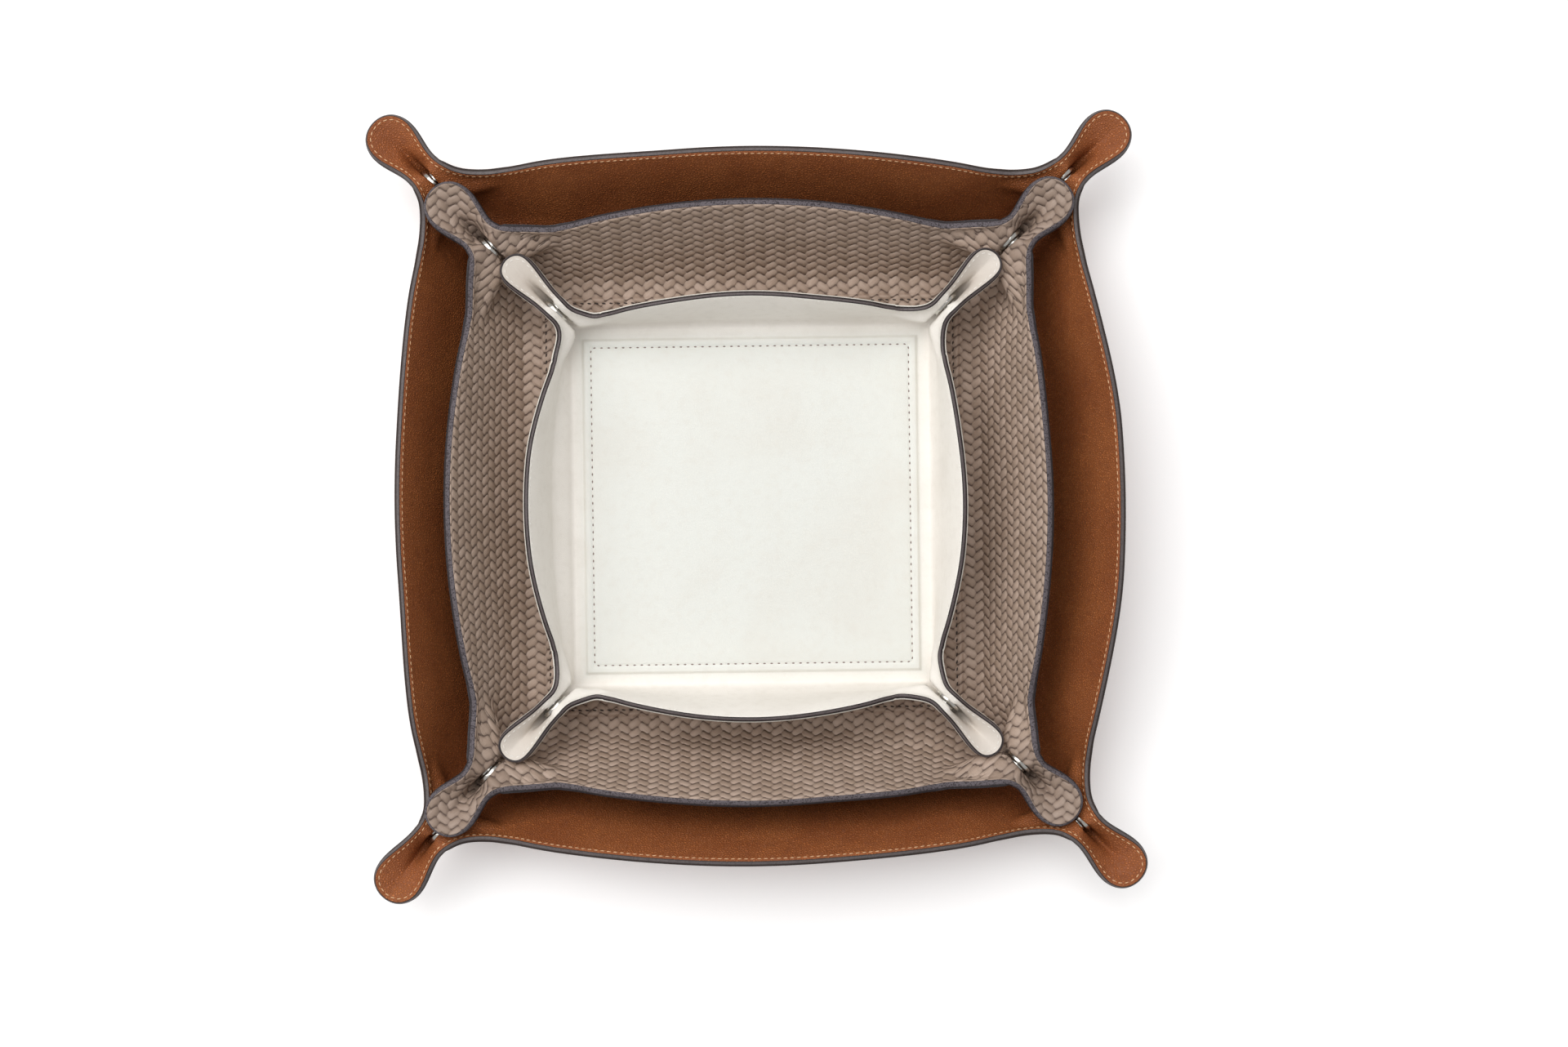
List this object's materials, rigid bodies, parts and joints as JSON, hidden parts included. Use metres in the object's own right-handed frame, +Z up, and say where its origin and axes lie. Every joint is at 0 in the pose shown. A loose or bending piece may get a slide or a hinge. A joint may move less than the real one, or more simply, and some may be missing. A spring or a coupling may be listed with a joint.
{
  "type": "pin tray set",
  "caption": "Nesting set of square leather trays, each with snap-pinched corners that open into round tabs, for pins, keys and small things.",
  "frame": {"origin": "centre of the large tray's underside", "axes": "+Z up out of the trays, sides along X and Y, tabs on the diagonals"},
  "size_m": [0.3332, 0.3332, 0.0548],
  "materials": {
    "brown_leather": "fine pebbled cognac leather, satin",
    "taupe_weave": "taupe leather strips woven in a herringbone",
    "dark_leather": "dark grey leather, matte",
    "cream_leather": "fine-grained cream leather, satin",
    "cream_back": "cream leather, matte",
    "greyboard": "pressed fibre board, hidden between the leathers",
    "nickel": "nickel-plated press stud"
  },
  "bodies": {
    "large_tray": {"large_outer_leather": "brown_leather", "large_base_board": "greyboard", "large_lining": "brown_leather", "large_cap_back_right": "nickel", "large_cap_back_left": "nickel", "large_cap_front_left": "nickel", "large_cap_front_right": "nickel", "large_socket_back_right": "nickel", "large_socket_back_left": "nickel", "large_socket_front_left": "nickel", "large_socket_front_right": "nickel", "large_stud_back_right": "nickel", "large_stud_back_left": "nickel", "large_stud_front_left": "nickel", "large_stud_front_right": "nickel", "large_post_back_right": "nickel", "large_post_back_left": "nickel", "large_post_front_left": "nickel", "large_post_front_right": "nickel"},
    "medium_tray": {"medium_outer_leather": "dark_leather", "medium_base_board": "greyboard", "medium_lining": "taupe_weave", "medium_cap_back_right": "nickel", "medium_cap_back_left": "nickel", "medium_cap_front_left": "nickel", "medium_cap_front_right": "nickel", "medium_socket_back_right": "nickel", "medium_socket_back_left": "nickel", "medium_socket_front_left": "nickel", "medium_socket_front_right": "nickel", "medium_stud_back_right": "nickel", "medium_stud_back_left": "nickel", "medium_stud_front_left": "nickel", "medium_stud_front_right": "nickel", "medium_post_back_right": "nickel", "medium_post_back_left": "nickel", "medium_post_front_left": "nickel", "medium_post_front_right": "nickel"},
    "small_tray": {"small_outer_leather": "cream_back", "small_base_board": "greyboard", "small_lining": "cream_leather", "small_cap_back_right": "nickel", "small_cap_back_left": "nickel", "small_cap_front_left": "nickel", "small_cap_front_right": "nickel", "small_socket_back_right": "nickel", "small_socket_back_left": "nickel", "small_socket_front_left": "nickel", "small_socket_front_right": "nickel", "small_stud_back_right": "nickel", "small_stud_back_left": "nickel", "small_stud_front_left": "nickel", "small_stud_front_right": "nickel", "small_post_back_right": "nickel", "small_post_back_left": "nickel", "small_post_front_left": "nickel", "small_post_front_right": "nickel"}
  },
  "joints": [
    {"name": "medium_tray_lift", "type": "slide", "parent": "large_tray", "child": "medium_tray", "axis": [0, 0, 1], "range_m": [0, 0.1]},
    {"name": "small_tray_lift", "type": "slide", "parent": "medium_tray", "child": "small_tray", "axis": [0, 0, 1], "range_m": [0, 0.1]}
  ]
}
